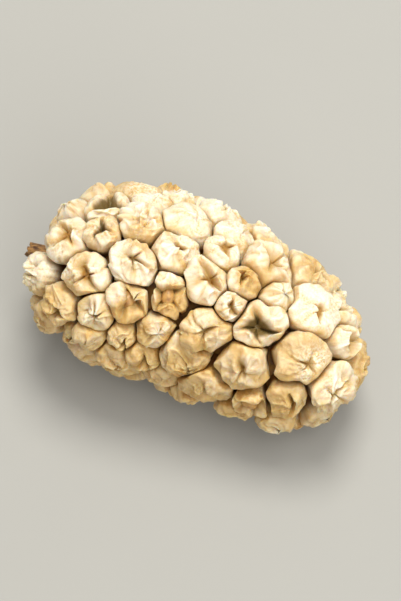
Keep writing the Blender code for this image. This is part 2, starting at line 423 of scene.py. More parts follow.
def outer_area():
    """Area of the surface over the drupelets, summed in narrow bands."""
    area = 0.0
    last = outer_place((-1.0, 0.0, 0.0))
    for band in range(1, AREA_BANDS + 1):
        along = -math.cos(math.pi * band / AREA_BANDS)
        place = outer_place((along, 0.0, 1.0))
        area += math.pi * (place.z + last.z) * math.hypot(place.x - last.x, place.z - last.z)
        last = place
    return area


def even_spacing():
    """Distance between neighbours if the drupelets lay like a honeycomb."""
    return math.sqrt(2.0 * outer_area() / (math.sqrt(3.0) * DRUPELET_COUNT))


def spread_evenly(spots, sizes):
    """Push spots on the unit sphere apart until large and small ones share the surface."""
    reach = ROOM * even_spacing() * (sizes[:, None] + sizes[None, :]) / 2
    halves = numpy.array((FRUIT_LENGTH, FRUIT_WIDTH, FRUIT_HEIGHT)) / 2
    stalk_end = numpy.array(outer_place((-1.0, 0.0, 0.0)))
    for step in range(SPREAD_ROUNDS):
        outer = numpy.array([outer_place(spot) for spot in spots])
        apart = outer[:, None, :] - outer[None, :, :]
        distance = numpy.linalg.norm(apart, axis=2) + numpy.eye(len(spots))
        overlap = numpy.clip(reach - distance, 0.0, None) / distance
        push = (apart * overlap[:, :, None]).sum(axis=1)
        off_stalk = outer - stalk_end
        distance = numpy.linalg.norm(off_stalk, axis=1)
        overlap = numpy.clip(STALK_HOLLOW - distance, 0.0, None) / distance
        push += off_stalk * overlap[:, None]
        spots = spots + SPREAD_STRENGTH * push / halves
        spots /= numpy.linalg.norm(spots, axis=1)[:, None]
    return spots


def drupelet_places():
    """Foot, direction, radii, rise and twist of each drupelet, from a scattered golden spiral."""
    draw = random.Random(PLACE_SEED)
    spots = []
    sizes = []
    for index in range(DRUPELET_COUNT):
        along = 2.0 * (index + 0.5) / DRUPELET_COUNT - 1.0
        girth = math.sqrt(1.0 - along**2)
        turn = index * GOLDEN_ANGLE + draw.uniform(-START_SCATTER, START_SCATTER)
        spots.append((along, girth * math.cos(turn), girth * math.sin(turn)))
        sizes.append(1.0 + SIZE_TO_TIP * along + draw.uniform(-SIZE_SPREAD, SIZE_SPREAD))
    spots = spread_evenly(numpy.array(spots), numpy.array(sizes))
    places = []
    for spot, size in zip(spots, sizes):
        foot, outward = core_place(spot[0], math.atan2(spot[2], spot[1]))
        lean = Vector([draw.uniform(-RANDOM_LEAN, RANDOM_LEAN) for axis in range(3)])
        lean.x += LEAN_TO_TIP
        direction = (outward + lean).normalized()
        radius = DRUPELET_RADIUS * size
        narrow = radius * (1.0 - draw.uniform(0.0, FLATNESS))
        rise = DRUPELET_RISE * (1.0 + draw.uniform(-RISE_SPREAD, RISE_SPREAD))
        twist = draw.uniform(0.0, math.pi)
        places.append((foot, direction, radius, narrow, rise, twist))
    return places


def frame_shift():
    """How far the frame lies from the placing rule's own middle, read off the stalk's box."""
    low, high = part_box("fruit_stalk")
    end = core_place(-1.0, 0.0)[0]
    foot_radius = STALK_RADIUS * (1.0 + STALK_FLARE)
    middle_y = (low.y + high.y) / 2
    return Vector((high.x + TOUCH_GAP - end.x, middle_y - end.y, high.z - foot_radius - end.z))


def drupelet_matrices(shift):
    """One matrix for each drupelet, from its unit form to its place in the frame."""
    matrices = []
    for foot, direction, radius, narrow, rise, twist in drupelet_places():
        turned = direction.to_track_quat("Z", "Y").to_matrix().to_4x4()
        bloom = patch_mask(numpy.array(foot + shift + rise * direction), BLOOM_PATCHES).item()
        plump = PLUMPNESS + BLOOM_PLUMPNESS * bloom
        size = Matrix.Diagonal((plump * radius, plump * narrow, rise, 1.0))
        place = Matrix.Translation(foot + shift) @ turned @ Matrix.Rotation(twist, 4, "Z") @ size
        matrices.append(place)
    matrices.sort(key=lambda matrix: matrix.translation.x)
    return numpy.array(matrices)


def transform(matrix, points):
    return points @ matrix[:3, :3].T + matrix[:3, 3]


def smooth_noise(points, size, seed):
    """Smooth noise from -1 to 1 at each point, on a lattice of random values."""
    cells = 32
    table = numpy.random.default_rng(seed).uniform(-1.0, 1.0, (cells, cells, cells))
    scaled = points / size
    corner = numpy.floor(scaled).astype(int)
    part = scaled - corner
    part = part * part * (3.0 - 2.0 * part)
    total = numpy.zeros(points.shape[:-1])
    for step in itertools.product((0, 1), repeat=3):
        index = (corner + step) % cells
        weight = numpy.where(numpy.array(step) == 1, part, 1.0 - part).prod(axis=-1)
        total += weight * table[index[..., 0], index[..., 1], index[..., 2]]
    return total


def ramp(values, start, end, most=1.0):
    """0 before start, the most after end, with a smooth climb between them."""
    share = numpy.clip((values - start) / (end - start), 0.0, 1.0)
    return most * (share * share * (3.0 - 2.0 * share))


def soft_least(first, second, reach):
    """The lesser of two values, rounded over where they are within reach of each other."""
    blend = numpy.clip(reach - numpy.abs(first - second), 0.0, None) / reach
    return numpy.minimum(first, second) - blend**2 * reach / 4.0


def unit_rings():
    """Radius, height, outward slope and way from the crown's middle of each ring of the unit form."""
    climb = numpy.linspace(0.0, 1.0, ROOT_RINGS, endpoint=False)
    root_radius = ROOT_WIDTH + (1.0 - ROOT_WIDTH) * numpy.sin(climb * math.pi / 2)
    root_height = -ROOT_SINK + (BELLY_HEIGHT + ROOT_SINK) * climb
    crown_angle = math.acos(CROWN_RADIUS)
    shoulder = numpy.cos(numpy.linspace(0.0, crown_angle, SHOULDER_RINGS, endpoint=False))
    crown = numpy.linspace(CROWN_RADIUS, CROWN_RADIUS / CROWN_RINGS, CROWN_RINGS)
    dome_radius = numpy.concatenate((shoulder, crown))
    dome_sine = numpy.sqrt(1.0 - dome_radius**2)
    radius = numpy.concatenate((root_radius, dome_radius))
    height = numpy.concatenate((root_height, BELLY_HEIGHT + (1.0 - BELLY_HEIGHT) * dome_sine))
    upward = numpy.concatenate((numpy.zeros(ROOT_RINGS), dome_sine))
    way = numpy.concatenate((2.0 - root_radius, dome_radius))
    return [values[None, :, None] for values in (radius, height, upward, way)]


class Looks:
    """Seeded draws that make each drupelet differ, as arrays that spread over rings and sides."""

    def __init__(self, matrices):
        self.count = len(matrices)
        self.draws = numpy.random.default_rng(LOOK_SEED)
        self.kind = self.draw_kinds(matrices)
        girth = numpy.linalg.norm(matrices[:, :3, 0], axis=1)
        self.girth = (girth / girth.mean())[:, None, None]
        self.offset = self.draws.uniform(*OFFSET, (self.count, 1, 1, 3))
        self.tone = self.between(0.0, 1.0)
        self.shrink = self.between(*SHRINK)
        self.lift = self.between(*LIFT)
        self.slump_turn = self.any_turn()
        self.slump = self.between(*SLUMP)
        self.shrivel = self.between(*SHRIVEL)
        self.mouth_reach = self.of_kind(1)
        self.mouth_stretch = self.of_kind(2)
        self.mouth_depth = self.of_kind(3)
        self.mouth_turn = self.any_turn()
        self.mouth_edge = self.between(*MOUTH_EDGE)
        shift_turn = self.any_turn()
        shift = self.between(*MOUTH_SHIFT)
        self.mouth_x = shift * numpy.cos(shift_turn)
        self.mouth_y = shift * numpy.sin(shift_turn)
        self.lobes = numpy.where(self.between(0.0, 1.0) < FOUR_LOBES, 4.0, 3.0)
        self.lobe_turn = self.any_turn()
        self.uneven_turn = self.any_turn()
        self.lobe_depth = self.of_kind(4)
        self.lobe_end = self.between(*LOBE_END)
        self.overlap = self.between(*OVERLAP)
        self.rim_turn = self.any_turn()
        self.rim_tilt = self.between(*RIM_TILT)
        self.rim_fold_turn = self.any_turn()
        self.rim_fold = self.between(*RIM_FOLD)
        self.pleats = numpy.round(self.between(*PLEATS))
        self.pleat_depth = numpy.clip(self.between(*PLEAT_DEPTH), 0.0, None)
        self.folds = numpy.round(self.between(*FOLDS))
        self.fold_turn = self.any_turn()
        self.fold_twist = self.between(*FOLD_TWIST)
        self.fold_depth = self.between(*FOLD_DEPTH)
        self.dent_turn = self.any_turn()
        self.dent_way = self.between(*DENT_WAY)
        self.dent_width = self.between(*DENT_WIDTH)
        self.dent_depth = numpy.clip(self.between(*DENT_DEPTH), 0.0, None)
        self.push = self.draws.uniform(-1.0, 1.0, self.count)
        self.calm = 1.0 - BLOOM_CALM * patch_mask(on_axes(matrices, 1.0), BLOOM_PATCHES)[:, None, None]

    def draw_kinds(self, matrices):
        """The row in KINDS of each drupelet: drawn, and set where one is marked."""
        shares = numpy.cumsum([row[0] for row in KINDS.values()])
        kinds = numpy.searchsorted(shares, self.draws.uniform(0.0, shares[-1], self.count))
        ends = on_axes(matrices, 1.0)
        for name, middle_x, middle_y in MARKED_DRUPELETS:
            distance = numpy.hypot(ends[:, 0] - middle_x, ends[:, 1] - middle_y)
            distance[ends[:, 2] < UPPER_SIDE] = numpy.inf
            kinds[distance.argmin()] = KIND_NAMES.index(name)
        return kinds[:, None, None]

    def between(self, low, high):
        return self.draws.uniform(low, high, (self.count, 1, 1))

    def any_turn(self):
        return self.between(0.0, 2.0 * math.pi)

    def of_kind(self, column):
        low, high = numpy.array([row[column] for row in KINDS.values()]).T
        return self.between(low[self.kind], high[self.kind])

    def is_kind(self, *names):
        return numpy.isin(self.kind, [KIND_NAMES.index(name) for name in names])


def on_axes(matrices, height):
    """Where the place at a height on each unit form's axis lies in the frame."""
    return numpy.array([transform(matrix, numpy.array((0.0, 0.0, height))) for matrix in matrices])


def stacked(*parts):
    """Vectors from arrays that spread to one shape."""
    return numpy.stack(numpy.broadcast_arrays(*parts), axis=-1)


def side_turns(sides):
    """The angle of each side round an axis."""
    return 2.0 * math.pi * numpy.arange(sides) / sides


def groove(turn, count, sharpness):
    """1 on each of count lines round the axis and 0 between them, with a crease on the line."""
    return (1.0 - numpy.abs(numpy.sin(turn * count / 2.0))) ** sharpness


def ridge_net(place, size, seed):
    """1 on the rounded lines of a net of ridges, falling quickly to 0 beside them."""
    off_line = numpy.hypot(smooth_noise(place, size, seed), RIDGE_ROUNDING) - RIDGE_ROUNDING
    return numpy.clip(1.0 - RIDGE_FALL * off_line, 0.0, 1.0) ** RIDGE_SHARPNESS


def ridge_nets(look, way, turn, height, sway, lumps):
    """The wide and the fine net of ridges, drawn out from the crown down the sides."""
    drawn = stacked(NET_WAY * way * numpy.cos(turn), NET_WAY * way * numpy.sin(turn), NET_HEIGHT * height)
    drawn = look.girth[..., None] * drawn + look.offset + NET_SWAY * stacked(sway, lumps, -sway)
    return ridge_net(drawn, RIDGE_SIZE, seed=5), ridge_net(drawn, FINE_RIDGE_SIZE, seed=6)


def from_mouth(look, way, turn):
    """How far each point is from the middle of the mouth, and at what angle round it."""
    x = way * numpy.cos(turn) - look.mouth_x
    y = way * numpy.sin(turn) - look.mouth_y
    return numpy.hypot(x, y), numpy.arctan2(y, x)


def lobe_forms(look, way, mouth_way, mouth_turn, sway):
    """The lines between lobes, the place across each lobe, and the window that holds both."""
    uneven = LOBE_UNEVENNESS * numpy.sin(mouth_turn - look.uneven_turn) + LOBE_SWAY * sway
    turn = mouth_turn - look.lobe_turn + uneven
    across = numpy.mod(turn * look.lobes / (2.0 * math.pi), 1.0) - 0.5
    ending = ramp(way, LOBE_FADE * look.lobe_end, look.lobe_end)
    return groove(turn, look.lobes, LOBE_SHARPNESS), across, ramp(mouth_way, *LOBE_START) * (1.0 - ending)


def rim_lift(look, mouth_way, mouth_turn):
    """How high the rim round the mouth stands: tilted to one side, and folded up at two."""
    lift = look.rim_tilt * numpy.cos(mouth_turn - look.rim_turn)
    lift = lift + look.rim_fold * numpy.cos(2.0 * (mouth_turn - look.rim_fold_turn))
    return lift * numpy.exp(-(((mouth_way - RIM_WAY) / RIM_WIDTH) ** 2))


def fold_valleys(look, way, turn, sway, lumps):
    """1 on the lines of the folds that run down the sides."""
    twisted = turn - look.fold_turn + look.fold_twist * way + FOLD_SWAY * sway
    window = ramp(way, *FOLD_START) * (1.0 - ramp(way, *FOLD_END))
    strength = numpy.clip(FOLD_LEVEL + FOLD_LUMPS * lumps, 0.0, 1.0)
    return groove(twisted, look.folds, FOLD_SHARPNESS) * window * strength


def pleat_valleys(look, mouth_way, mouth_turn, sway):
    """1 on the lines of the small pleats round the mouth."""
    lines = groove(mouth_turn + PLEAT_SWAY * sway, look.pleats, PLEAT_SHARPNESS)
    return lines * ramp(mouth_way, *PLEAT_START) * (1.0 - ramp(mouth_way, *PLEAT_END))


def side_dent(look, way, turn):
    """1 in the middle of a drupelet's one dent, falling to 0 round it."""
    turn_off = numpy.angle(numpy.exp(1j * (turn - look.dent_turn)))
    return numpy.exp(-((turn_off / look.dent_width) ** 2) - ((way - look.dent_way) / DENT_LENGTH) ** 2)


def shape_drupelets(look):
    """Points of every drupelet in its unit form, and the masks that colour them."""
    radius, height, upward, way = unit_rings()
    turn = side_turns(SKIN_SIDES)[None, None, :]
    place = stacked(radius * numpy.cos(turn), radius * numpy.sin(turn), height * RISE_IN_RADII)
    place = place + look.offset
    sway = smooth_noise(place, SWAY_SIZE, seed=1)
    lumps = smooth_noise(place, LUMP_SIZE, seed=2)
    ripples = smooth_noise(place, RIPPLE_SIZE, seed=3)
    crinkle = smooth_noise(place, CRINKLE_SIZE, seed=4)
    wide_net, fine_net = ridge_nets(look, way, turn, height, sway, lumps)

    mouth_way, mouth_turn = from_mouth(look, way, turn)
    lobe_lines, across_lobe, lobe_window = lobe_forms(look, way, mouth_way, mouth_turn, sway)
    stretch = 1.0 + look.mouth_stretch * numpy.cos(2.0 * (mouth_turn - look.mouth_turn))
    reach = look.mouth_reach * stretch * (MOUTH_LEVEL + MOUTH_LUMPS * lumps + MOUTH_CORNERS * lobe_lines)
    mouth = numpy.exp(-((mouth_way / reach) ** look.mouth_edge)) * (1.0 + MOUTH_RIPPLES * ripples)
    lips = numpy.exp(-(((mouth_way - LIP_WAY * reach) / LIP_WIDTH) ** 2)) * (1.0 - lobe_lines)
    lobe_valley = lobe_lines * lobe_window
    fold_valley = fold_valleys(look, way, turn, sway, lumps)
    pleat_valley = pleat_valleys(look, mouth_way, mouth_turn, sway)
    ridges = wide_net * ramp(mouth_way, RIDGE_START[0] * reach, RIDGE_START[1] * reach)

    sunk = look.lobe_depth * lobe_valley + look.fold_depth * fold_valley
    sunk = look.calm * (sunk + look.dent_depth * side_dent(look, way, turn))
    sunk += look.pleat_depth * pleat_valley + look.overlap * across_lobe * lobe_window
    shrivel = look.calm * look.shrivel * (1.0 - ramp(way, *SIDE_CALM))
    sunk -= shrivel * (RIDGE_HEIGHT * (ridges - NET_LEVEL) + FINE_RIDGE_HEIGHT * (fine_net - NET_LEVEL))
    sunk -= LUMP_HEIGHT * lumps + RIPPLE_HEIGHT * ripples + CRINKLE_HEIGHT * crinkle
    sunk -= LIP_HEIGHT * lips + rim_lift(look, mouth_way, mouth_turn)
    sunk = -soft_least(-sunk, PEAK_HEIGHT, PEAK_ROUNDING)
    sunk_radius = radius * look.shrink - sunk * numpy.sqrt(1.0 - upward**2)
    sunk_height = look.lift * height - sunk * upward / RISE_IN_RADII
    sunk_height = sunk_height - look.calm * look.mouth_depth * mouth
    slump = look.slump * (1.0 - ramp(way, 0.0, SLUMP_END))
    points = stacked(
        sunk_radius * numpy.cos(turn) + slump * numpy.cos(look.slump_turn),
        sunk_radius * numpy.sin(turn) + slump * numpy.sin(look.slump_turn),
        sunk_height,
    )
    # Painted shade, amber in the material, along the lines between lobes, the folds, the pleats and the lows
    # between ridges.
    valley_shade = lobe_valley + FOLD_SHADE * fold_valley + PLEAT_SHADE * pleat_valley + NET_SHADE * (1.0 - ridges)
    masks = {
        "outward": numpy.clip(sunk_height, 0.0, 1.0),
        "valley_shade": numpy.clip(valley_shade, 0.0, 1.0),
        "mouth": numpy.clip(mouth, 0.0, 1.0) * ramp(look.mouth_depth, 0.0, MOUTH_MASK_DEPTH),
        "way": way,
    }
    return points, masks


def skin_measure(local):
    """1 on the smooth unit form's skin and 0 on its axis, at points in the unit form's own frame."""
    climb = numpy.clip((local[..., 2] + ROOT_SINK) / (BELLY_HEIGHT + ROOT_SINK), 0.0, 1.0)
    girth = ROOT_WIDTH + (1.0 - ROOT_WIDTH) * numpy.sin(climb * math.pi / 2)
    dome = numpy.clip((local[..., 2] - BELLY_HEIGHT) / (1.0 - BELLY_HEIGHT), 0.0, None)
    return numpy.hypot(numpy.hypot(local[..., 0], local[..., 1]) / girth, dome)


def gap_and_rounding(points):
    """How wide the gap is at each point, and how softly the skin rounds into it."""
    plump = patch_mask(points, BLOOM_PATCHES)
    wide = WIDE_GAP + LOW_GAP * low_side(points, LOW_GAP_SIDE)
    gap = PRESS_GAP + (1.0 - plump) * wide * ramp(smooth_noise(points, GAP_PATCH, seed=8), *GAP_RANGE)
    gap = numpy.maximum(gap, MARKED_GAP * patch_mask(points, GAP_PATCHES))
    soft = ramp(smooth_noise(points, ROUNDING_PATCH, seed=9), *ROUNDING_RANGE)
    return gap, TIGHT_ROUNDING + (SOFT_ROUNDING - TIGHT_ROUNDING) * numpy.maximum(plump, soft)


def press_together(matrices, points, push):
    """Draw each drupelet's skin towards its own axis where it would cross a neighbour's.

    Each drupelet pushes more in some places and less in others, so that the borders wave.
    Returns the points in the frame and how near each one is to its neighbours: 1 where they touch.
    """
    inverses = numpy.linalg.inv(matrices)
    bellies = on_axes(matrices, BELLY_HEIGHT)
    placed = numpy.empty_like(points)
    nearness = numpy.empty(points.shape[:-1])
    for index, matrix in enumerate(matrices):
        own = points[index].reshape(-1, 3)
        on_axis = own * (0.0, 0.0, 1.0)
        off_axis = own - on_axis
        start = transform(matrix, on_axis)
        step = transform(matrix, own) - start
        distance = numpy.linalg.norm(bellies - bellies[index], axis=1)
        others = numpy.argsort(distance)[1:]
        near = others[distance[others] < PRESS_REACH * DRUPELET_RADIUS]
        starts = numpy.array([transform(inverses[other], start) for other in near])
        steps = numpy.array([step @ inverses[other][:3, :3].T for other in near])
        own_reach = skin_measure(own)
        wave = BORDER_WAVE * smooth_noise(start + step, WAVE_PATCH, seed=10)
        yielding = 1.0 + (push[near] - push[index])[:, None] * wave
        gap, rounding = gap_and_rounding(start + step)
        low = numpy.full(len(own), LEAST_SHARE)
        high = numpy.ones(len(own))
        for halving in range(PRESS_STEPS):
            share = (low + high) / 2
            others_reach = (yielding * skin_measure(starts + share[None, :, None] * steps)).min(axis=0)
            limit = soft_least(own_reach, others_reach * (1.0 - gap), rounding)
            crossing = skin_measure(on_axis + share[:, None] * off_axis) > limit
            high = numpy.where(crossing, share, high)
            low = numpy.where(crossing, low, share)
        others_reach = (yielding * skin_measure(starts + low[None, :, None] * steps)).min(axis=0)
        own_reach = skin_measure(on_axis + low[:, None] * off_axis)
        placed[index] = (start + low[:, None] * step).reshape(points[index].shape)
        nearness[index] = (own_reach / others_reach).reshape(nearness[index].shape)
    return placed, nearness


def lay_on_floor(points):
    """Press what lies below Z = 0 flat, with a rounded edge."""
    points[..., 2] = -soft_least(-points[..., 2], 0.0, FLOOR_ROUNDING)


def keep_off_stalk(points, shift):
    """Push skin away from the stalk's line, so that the stalk stays clear in its hollow."""
    end = numpy.array(core_place(-1.0, 0.0)[0] + shift)
    out = end[0] - points[..., 0]
    share = numpy.clip(out / STALK_LENGTH, 0.0, 1.0)
    middle_z = end[2] - STALK_DROOP * share**2
    off_y = points[..., 1] - end[1]
    off_z = points[..., 2] - middle_z
    distance = numpy.hypot(off_y, off_z)
    least = STALK_RADIUS * (1.0 + STALK_FLARE * (1.0 - share) ** 2) + STALK_CLEARANCE
    push = numpy.maximum(distance, least * ramp(out, *CLEARANCE_START)) / distance
    points[..., 1] = end[1] + off_y * push
    points[..., 2] = middle_z + off_z * push


def ring_faces(rings, sides):
    """Faces of one closed form: its rings of points, then its root point and its crown point."""
    ring = numpy.arange(rings - 1)[:, None] * sides
    side = numpy.arange(sides)[None, :]
    after = (side + 1) % sides
    quads = numpy.stack((ring + side, ring + after, ring + sides + after, ring + sides + side), axis=-1)
    root = rings * sides
    last = (rings - 1) * sides
    pairs = list(zip(range(sides), [*range(1, sides), 0]))
    fans = [(there, here, root) for here, there in pairs]
    fans += [(last + here, last + there, root + 1) for here, there in pairs]
    return quads.reshape(-1, 4), numpy.array(fans)


def with_poles(values):
    """Rings of values, flattened, with the mean of the first and of the last ring added at the end."""
    flat = values.reshape(-1, values.shape[-1])
    return numpy.concatenate((flat, values[0].mean(axis=0)[None], values[-1].mean(axis=0)[None]))


def ringed_mesh(name, forms, attributes):
    """One mesh of closed forms, each a grid of rings, with attributes of the same grid."""
    rings, sides = forms[0].shape[:2]
    quads, fans = ring_faces(rings, sides)
    size = rings * sides + 2
    points = numpy.concatenate([with_poles(form) for form in forms])
    faces = []
    for index in range(len(forms)):
        faces += (quads + index * size).tolist()
        faces += (fans + index * size).tolist()
    mesh = bpy.data.meshes.new(name)
    mesh.from_pydata(points.tolist(), [], faces)
    for label, values in attributes.items():
        flat = numpy.concatenate([with_poles(value) for value in values]).astype(numpy.float32)
        kind, field = ("FLOAT_COLOR", "color") if flat.shape[1] == 4 else ("FLOAT_VECTOR", "vector")
        attribute = mesh.attributes.new(label, kind, "POINT")
        attribute.data.foreach_set(field, flat.ravel())
    mesh.shade_smooth()
    mesh.update()
    return mesh


def add_object(name, data):
    """Put a mesh, a light or a camera into the scene."""
    made = bpy.data.objects.new(name, data)
    bpy.context.scene.collection.objects.link(made)
    return made


def add_piece(name, mesh, material, node):
    """Show a mesh as a piece that rides on the fruit's one body and stands for a node."""
    piece = add_object(name, mesh)
    mesh.materials.append(material)
    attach(piece, "root")
    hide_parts(node)


def patch_mask(points, patches):
    """1 in the middle of each patch, falling to 0 at its radius, on the upper side only."""
    mask = numpy.zeros(points.shape[:-1])
    for middle_x, middle_y, radius in patches:
        distance = numpy.hypot(points[..., 0] - middle_x, points[..., 1] - middle_y)
        mask = numpy.maximum(mask, 1.0 - ramp(distance, PATCH_CORE * radius, radius))
    return mask * ramp(points[..., 2], *PATCH_HEIGHTS)


def low_side(points, heights):
    """1 on the lower front side, falling to 0 above it."""
    return 1.0 - ramp(points[..., 2] + LOW_TILT * points[..., 1], *heights)


def skin_attributes(look, placed, nearness, masks):
    """The masks and coordinates that the flesh material reads."""
    drift = smooth_noise(placed, DRIFT_SIZE, seed=11)
    patchy = smooth_noise(placed, PATCHY_SIZE, seed=12)
    bloom = ramp(drift + BLOOM_PATCHINESS * patchy, *DRIFT_BLOOM)
    bloom = bloom + MARKED_BLOOM * patch_mask(placed, BLOOM_PATCHES)
    # More gold from each drupelet's tone and from patches, some of which are painted shade.
    golden = ramp(look.tone, *TONE_GOLD) + ramp(patchy, *PATCHY_GOLD) + patch_mask(placed, GOLD_AND_SHADE_PATCHES)
    # Painted shade: the low front side is painted more gold.
    low_shade_gold = LOW_SHADE_GOLD * low_side(placed, LOW_SHADE_SIDE)
    golden = golden + low_shade_gold * (LOW_SHADE_GOLD_LEVEL + LOW_SHADE_GOLD_PATCHINESS * patchy)
    # Painted shade: dark olive deep in the mouths of pits, hollows and dents.
    pit_shade = ramp(masks["mouth"], *PIT_SHADE_RANGE) * look.is_kind("pit", "hollow", "dent")
    # Painted shade of the creases reaches further on the low side and in the gap patches, and less far
    # above.
    low = low_side(placed, LOW_GAP_SIDE)
    nearness = nearness + LOW_CREASE * low - CREASE_CALM * (1.0 - low)
    nearness = nearness + MARKED_CREASE * patch_mask(placed, GAP_PATCHES)
    turn = side_turns(SKIN_SIDES)[None, None, :]
    form = stacked(masks["outward"], nearness, masks["valley_shade"], masks["mouth"])
    hue = stacked(look.tone, numpy.clip(golden, 0.0, 1.0), numpy.clip(bloom, 0.0, 1.0), pit_shade)
    grain = stacked(numpy.cos(turn), numpy.sin(turn), GRAIN_WAY * masks["way"]) + look.offset
    return {"form": form, "hue": hue, "grain": grain}


def make_drupelets(matrices, look, shift, material):
    """All the drupelets, pressed together, in a few pieces from the stalk end to the tip."""
    unit_points, masks = shape_drupelets(look)
    placed, nearness = press_together(matrices, unit_points, look.push)
    keep_off_stalk(placed, shift)
    lay_on_floor(placed)
    attributes = skin_attributes(look, placed, nearness, masks)
    for number, group in enumerate(numpy.array_split(numpy.arange(len(matrices)), GROUP_COUNT)):
        name = f"drupelets_{number + 1}"
        chosen = {label: values[group] for label, values in attributes.items()}
        mesh = ringed_mesh(name, placed[group], chosen)
        add_piece(name, mesh, material, "mulberry_fruit")


def make_nutlets(matrices, look, material):
    """The seeds that show between the lobes of the open drupelets."""
    climb = numpy.linspace(-math.pi / 2, math.pi / 2, NUTLET_RINGS + 2)[1:-1, None]
    turn = side_turns(NUTLET_SIDES)[None, :]
    girth = NUTLET_RADIUS * numpy.cos(climb)
    across = NUTLET_FLATNESS * girth * numpy.sin(turn)
    form = stacked(girth * numpy.cos(turn), across, NUTLET_HALF_RISE * numpy.sin(climb))
    forms = []
    for index in numpy.flatnonzero(look.is_kind("open")):
        rough = 1.0 + NUTLET_LUMPS * smooth_noise(form + look.offset[index], NUTLET_LUMP_SIZE, seed=41)
        seat = (look.mouth_x[index].item(), look.mouth_y[index].item(), NUTLET_HEIGHT)
        forms.append(transform(matrices[index], form * rough[..., None] + seat))
    mesh = ringed_mesh("nutlets", forms, {})
    add_piece("nutlets", mesh, material, "mulberry_fruit")


def make_core(shift, material):
    """The fleshy core that the drupelets grow from, seen at the bottom of the creases. Its dark browns are
    partly its own colour and partly painted shade of the creases.
    """
    points = []
    for ring in range(1, CORE_RINGS):
        along = -math.cos(math.pi * ring / CORE_RINGS)
        points.append([core_place(along, turn)[0] for turn in side_turns(CORE_SIDES)])
    points = numpy.array(points) + numpy.array(shift)
    middle = points.mean(axis=(0, 1))
    rough = sum(share * smooth_noise(points, size, seed) for share, size, seed in CORE_LUMPS)
    points += (points - middle) * CORE_ROUGHNESS * rough[..., None]
    mesh = ringed_mesh("fruit_core", [points], {})
    add_piece("fruit_core", mesh, material, "mulberry_fruit")


def make_stalk(shift, material):
    """The broken stub: fibres along it, a flared foot and a torn end."""
    end = numpy.array(core_place(-1.0, 0.0)[0] + shift)
    share = numpy.linspace(-(TOUCH_GAP + STALK_ROOT) / STALK_LENGTH, 1.0, FINE_STALK_RINGS)[:, None]
    turn = side_turns(FINE_STALK_SIDES)[None, :]
    fibre = numpy.abs(numpy.sin(STALK_FIBRES / 2 * turn)) ** FIBRE_SHARPNESS - 0.5
    seat = stacked(numpy.cos(turn), numpy.sin(turn), share) * STALK_NOISE
    rough = smooth_noise(seat, STALK_LUMP_SIZE, seed=31)
    radius = STALK_RADIUS * (STALK_GIRTH + STALK_FLARE * (1.0 - numpy.clip(share, 0.0, 1.0)) ** 2)
    radius = radius * (1.0 + FIBRE_HEIGHT * fibre + STALK_LUMPS * rough)
    torn = TORN_LENGTH * smooth_noise(seat, TORN_SIZE, seed=32) * ramp(share, TORN_START, 1.0)
    reach = TOUCH_GAP + STALK_LENGTH * numpy.minimum(share, STALK_REACH) + torn
    droop = STALK_DROOP * numpy.clip(share, 0.0, 1.0) ** 2
    points = end + stacked(-reach, radius * numpy.sin(turn), radius * numpy.cos(turn) - droop)
    middle = points[-1].mean(axis=0)
    rings = [points]
    for narrow, sunk in STALK_CAPS:
        cap = middle + (points[-1] - middle) * narrow + (sunk, 0.0, 0.0)
        rings.append(cap[None])
    mesh = ringed_mesh("stalk_stub", [numpy.concatenate(rings)], {})
    add_piece("stalk_stub", mesh, material, "fruit_stalk")


def new_surface(name):
    """A new material, its nodes, its shader, and the place on the object to feed them."""
    material = bpy.data.materials.new(name)
    material.use_nodes = True
    tree = material.node_tree
    place = add_node(tree, "ShaderNodeTexCoord").outputs["Object"]
    return material, tree, tree.nodes["Principled BSDF"], place


def feed(tree, socket, value):
    """Give a socket a value, or the socket that it takes its value from."""
    if isinstance(value, bpy.types.NodeSocket):
        tree.links.new(value, socket)
    else:
        socket.default_value = value


def add_node(tree, kind, inputs=(), **settings):
    node = tree.nodes.new(kind)
    for name, value in settings.items():
        setattr(node, name, value)
    for name, value in dict(inputs).items():
        feed(tree, node.inputs[name], value)
    return node


def blend_colour(tree, share, first, second):
    node = add_node(tree, "ShaderNodeMix", data_type="RGBA", blend_type="MIX")
    feed(tree, node.inputs[0], share)
    feed(tree, node.inputs[6], first)
    feed(tree, node.inputs[7], second)
    return node.outputs[2]


def compute(tree, operation, first, second, clamp=False):
    node = add_node(tree, "ShaderNodeMath", operation=operation, use_clamp=clamp)
    feed(tree, node.inputs[0], first)
    feed(tree, node.inputs[1], second)
    return node.outputs[0]


def map_range(tree, value, start, end, low=0.0, high=1.0):
    inputs = {"Value": value, "From Min": start, "From Max": end, "To Min": low, "To Max": high}
    node = add_node(tree, "ShaderNodeMapRange", inputs, interpolation_type="SMOOTHSTEP")
    return node.outputs["Result"]


def tint(tree, base, mask, start, end, most, colour):
    """Lay a colour over the base as a mask goes from start to end."""
    return blend_colour(tree, map_range(tree, mask, start, end, 0.0, most), base, colour)


def noise(tree, place, scale, detail, roughness, distortion=0.0):
    inputs = {"Vector": place, "Scale": scale, "Detail": detail, "Roughness": roughness}
    inputs["Distortion"] = distortion
    return add_node(tree, "ShaderNodeTexNoise", inputs).outputs["Fac"]


def bump(tree, height, distance, strength, below=None):
    inputs = {"Height": height, "Distance": distance, "Strength": strength}
    if below is not None:
        inputs["Normal"] = below
    return add_node(tree, "ShaderNodeBump", inputs).outputs["Normal"]


def set_flesh_depth(shader, weight):
    """Let light pass a little way under the skin, red furthest."""
    shader.inputs["Subsurface Weight"].default_value = weight
    shader.inputs["Subsurface Radius"].default_value = LIGHT_REACH
    shader.inputs["Subsurface Scale"].default_value = LIGHT_DEPTH
    shader.inputs["IOR"].default_value = FLESH_IOR


